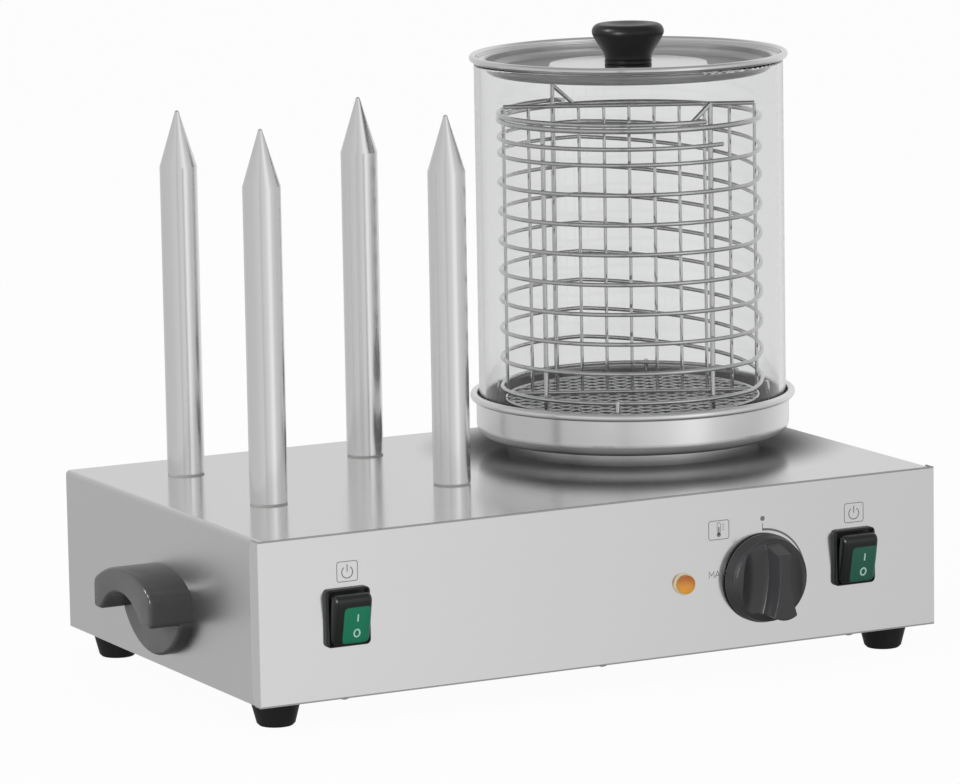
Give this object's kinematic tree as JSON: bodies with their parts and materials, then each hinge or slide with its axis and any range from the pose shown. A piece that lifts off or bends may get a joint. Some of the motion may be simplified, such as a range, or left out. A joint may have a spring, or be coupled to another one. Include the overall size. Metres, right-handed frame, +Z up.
{
  "type": "hot dog maker",
  "caption": "Table-top hot dog maker: steel housing with heated bread spikes, and a steam pan carrying a glass cylinder with a wire sausage basket and a lid.",
  "frame": {"origin": "on the table, under the middle of the outline (bounding box bottom centre)", "axes": "+X to the right seen from the front, -Y out of the front panel, +Z up"},
  "size_m": [0.536, 0.343, 0.399],
  "materials": {
    "satin_steel": "satin brushed stainless sheet",
    "base_steel": "plain mill-finish sheet",
    "zinc_steel": "zinc-plated steel",
    "foot_rubber": "matt black rubber",
    "gasket_rubber": "dark silicone",
    "spike_metal": "satin turned aluminium",
    "cartridge_steel": "plain tube",
    "polished_steel": "polished stainless sheet",
    "heater_aluminium": "cast aluminium",
    "bulb_brass": "drawn tube",
    "clear_glass": "clear polished",
    "black_knob": "black, half gloss",
    "bright_wire": "bright plated wire",
    "dark_housing": "dark moulded",
    "lamp_clear": "clear, tinted",
    "lamp_amber": "translucent amber",
    "black_frame": "black moulded",
    "green_lens": "translucent green",
    "black_handle": "black moulded, satin",
    "grey_gland": "dark moulded",
    "white_block": "white moulded"
  },
  "bodies": {
    "housing": {"housing_shell": "satin_steel", "front_panel": "satin_steel", "rear_panel": "satin_steel", "base_plate": "base_steel", "base_screws": "zinc_steel", "foot_front_left": "foot_rubber", "foot_front_right": "foot_rubber", "foot_rear_left": "foot_rubber", "foot_rear_right": "foot_rubber", "foot_screws": "zinc_steel", "foot_nuts": "zinc_steel", "spike_front_left": "spike_metal", "spike_front_right": "spike_metal", "spike_rear_left": "spike_metal", "spike_rear_right": "spike_metal", "spike_gaskets": "gasket_rubber", "spike_nuts": "zinc_steel", "spike_heaters": "cartridge_steel", "water_pan": "polished_steel", "pan_heater": "heater_aluminium", "heater_bracket": "zinc_steel", "pan_stud": "zinc_steel", "pan_nut": "zinc_steel", "sensor_bulb": "bulb_brass", "thermostat_body": "dark_housing", "thermostat_screws": "zinc_steel", "lamp_rim": "lamp_clear", "lamp_cap": "lamp_amber", "left_switch_frame": "black_frame", "left_switch_body": "dark_housing", "right_switch_frame": "black_frame", "right_switch_body": "dark_housing", "left_handle": "black_handle", "right_handle": "black_handle", "handle_screws": "zinc_steel", "cable_gland": "grey_gland", "gland_nut": "grey_gland", "terminal_block": "white_block"},
    "glass": {"glass_cylinder": "clear_glass"},
    "basket": {"basket_ring": "bright_wire", "basket_winding": "bright_wire", "basket_divider": "bright_wire", "basket_uprights": "bright_wire", "basket_floor": "bright_wire", "basket_legs": "bright_wire"},
    "bail": {"basket_bail": "bright_wire"},
    "cover": {"lid": "polished_steel", "lid_knob": "black_knob", "lid_knob_screw": "zinc_steel"},
    "dial": {"thermostat_shaft": "zinc_steel", "thermostat_knob": "black_knob"},
    "left_rocker": {"left_switch_rocker": "black_frame", "left_switch_lens": "green_lens"},
    "right_rocker": {"right_switch_rocker": "black_frame", "right_switch_lens": "green_lens"}
  },
  "joints": [
    {"name": "glass_lift", "type": "slide", "parent": "housing", "child": "glass", "axis": [0, 0, 1], "range_m": [0, 0.06]},
    {"name": "basket_lift", "type": "slide", "parent": "glass", "child": "basket", "axis": [0, 0, 1], "range_m": [0, 0.26]},
    {"name": "lid_lift", "type": "slide", "parent": "basket", "child": "cover", "axis": [0, 0, 1], "range_m": [0, 0.06]},
    {"name": "bail_swing", "type": "hinge", "parent": "basket", "child": "bail", "pos_m": [0.118, 0.0359, 0.3418], "axis": [-0.0925, 0.9957, 0], "range_deg": [0, 15]},
    {"name": "thermostat_turn", "type": "hinge", "parent": "housing", "child": "dial", "pos_m": [0.1125, -0.1421, 0.061], "axis": [0, 1, 0], "range_deg": [0, 270]},
    {"name": "left_switch_rock", "type": "hinge", "parent": "housing", "child": "left_rocker", "pos_m": [-0.181, -0.1444, 0.068], "axis": [-1, 0, 0], "range_deg": [0, 24]},
    {"name": "right_switch_rock", "type": "hinge", "parent": "housing", "child": "right_rocker", "pos_m": [0.179, -0.1444, 0.068], "axis": [-1, 0, 0], "range_deg": [0, 24]}
  ]
}
